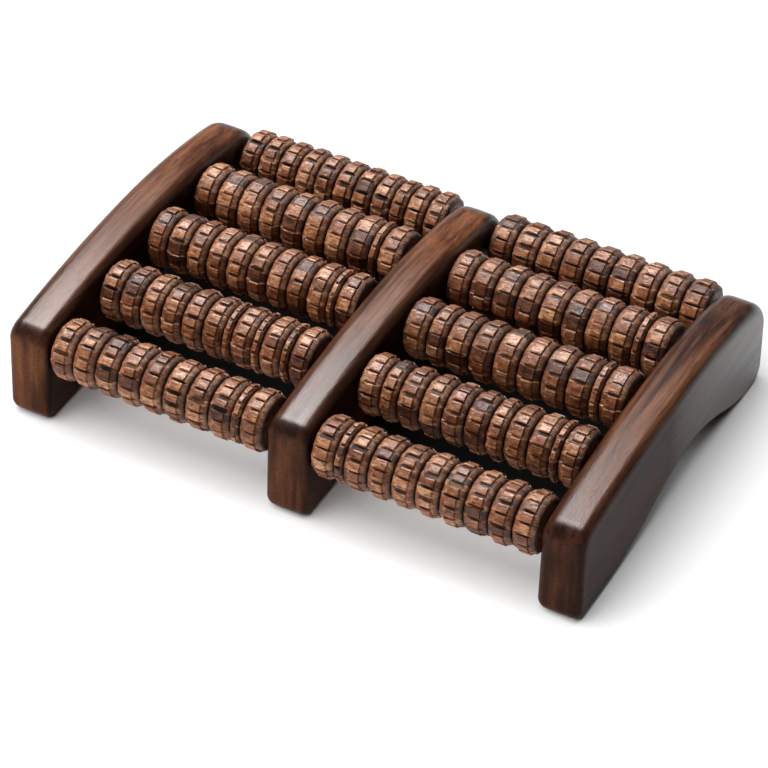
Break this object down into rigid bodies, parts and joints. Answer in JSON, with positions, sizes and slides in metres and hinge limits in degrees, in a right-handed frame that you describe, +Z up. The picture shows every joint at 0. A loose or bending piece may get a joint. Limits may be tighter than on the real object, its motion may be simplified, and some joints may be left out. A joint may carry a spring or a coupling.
{
  "type": "foot massage roller",
  "caption": "Foot massage roller for both feet: arched dark wood rails carry rows of turned, toothed wooden rollers that spin freely on steel axles.",
  "frame": {"origin": "on the floor, under the middle rail, below the axle of the third row of rollers", "axes": "+X along the rollers from left to right, +Y from the front row to the back row, +Z up"},
  "size_m": [0.285, 0.1912, 0.0564],
  "materials": {
    "rail_wood": "semi-gloss lacquer over espresso stain",
    "roller_wood": "satin oil, edges worn lighter",
    "axle_steel": "drawn steel rod",
    "washer_fibre": "dark brown vulcanised fibre"
  },
  "bodies": {
    "frame": {"rail_left": "rail_wood", "rail_middle": "rail_wood", "rail_right": "rail_wood", "axle_1": "axle_steel", "axle_2": "axle_steel", "axle_3": "axle_steel", "axle_4": "axle_steel", "axle_5": "axle_steel", "washer_left_1_a": "washer_fibre", "washer_left_1_b": "washer_fibre", "washer_left_2_a": "washer_fibre", "washer_left_2_b": "washer_fibre", "washer_left_3_a": "washer_fibre", "washer_left_3_b": "washer_fibre", "washer_left_4_a": "washer_fibre", "washer_left_4_b": "washer_fibre", "washer_left_5_a": "washer_fibre", "washer_left_5_b": "washer_fibre", "washer_right_1_a": "washer_fibre", "washer_right_1_b": "washer_fibre", "washer_right_2_a": "washer_fibre", "washer_right_2_b": "washer_fibre", "washer_right_3_a": "washer_fibre", "washer_right_3_b": "washer_fibre", "washer_right_4_a": "washer_fibre", "washer_right_4_b": "washer_fibre", "washer_right_5_a": "washer_fibre", "washer_right_5_b": "washer_fibre"},
    "roller_left_1": {"roller_left_1": "roller_wood"},
    "roller_left_2": {"roller_left_2": "roller_wood"},
    "roller_left_3": {"roller_left_3": "roller_wood"},
    "roller_left_4": {"roller_left_4": "roller_wood"},
    "roller_left_5": {"roller_left_5": "roller_wood"},
    "roller_right_1": {"roller_right_1": "roller_wood"},
    "roller_right_2": {"roller_right_2": "roller_wood"},
    "roller_right_3": {"roller_right_3": "roller_wood"},
    "roller_right_4": {"roller_right_4": "roller_wood"},
    "roller_right_5": {"roller_right_5": "roller_wood"}
  },
  "joints": [
    {"name": "roller_left_1_spin", "type": "hinge", "parent": "frame", "child": "roller_left_1", "pos_m": [-0.066, -0.081, 0.0354], "axis": [1, 0, 0], "continuous": true},
    {"name": "roller_left_2_spin", "type": "hinge", "parent": "frame", "child": "roller_left_2", "pos_m": [-0.066, -0.0405, 0.04], "axis": [1, 0, 0], "continuous": true},
    {"name": "roller_left_3_spin", "type": "hinge", "parent": "frame", "child": "roller_left_3", "pos_m": [-0.066, 0, 0.042], "axis": [1, 0, 0], "continuous": true},
    {"name": "roller_left_4_spin", "type": "hinge", "parent": "frame", "child": "roller_left_4", "pos_m": [-0.066, 0.0405, 0.0401], "axis": [1, 0, 0], "continuous": true},
    {"name": "roller_left_5_spin", "type": "hinge", "parent": "frame", "child": "roller_left_5", "pos_m": [-0.066, 0.081, 0.0326], "axis": [1, 0, 0], "continuous": true},
    {"name": "roller_right_1_spin", "type": "hinge", "parent": "frame", "child": "roller_right_1", "pos_m": [0.066, -0.081, 0.0354], "axis": [1, 0, 0], "continuous": true},
    {"name": "roller_right_2_spin", "type": "hinge", "parent": "frame", "child": "roller_right_2", "pos_m": [0.066, -0.0405, 0.04], "axis": [1, 0, 0], "continuous": true},
    {"name": "roller_right_3_spin", "type": "hinge", "parent": "frame", "child": "roller_right_3", "pos_m": [0.066, 0, 0.042], "axis": [1, 0, 0], "continuous": true},
    {"name": "roller_right_4_spin", "type": "hinge", "parent": "frame", "child": "roller_right_4", "pos_m": [0.066, 0.0405, 0.0401], "axis": [1, 0, 0], "continuous": true},
    {"name": "roller_right_5_spin", "type": "hinge", "parent": "frame", "child": "roller_right_5", "pos_m": [0.066, 0.081, 0.0326], "axis": [1, 0, 0], "continuous": true}
  ]
}
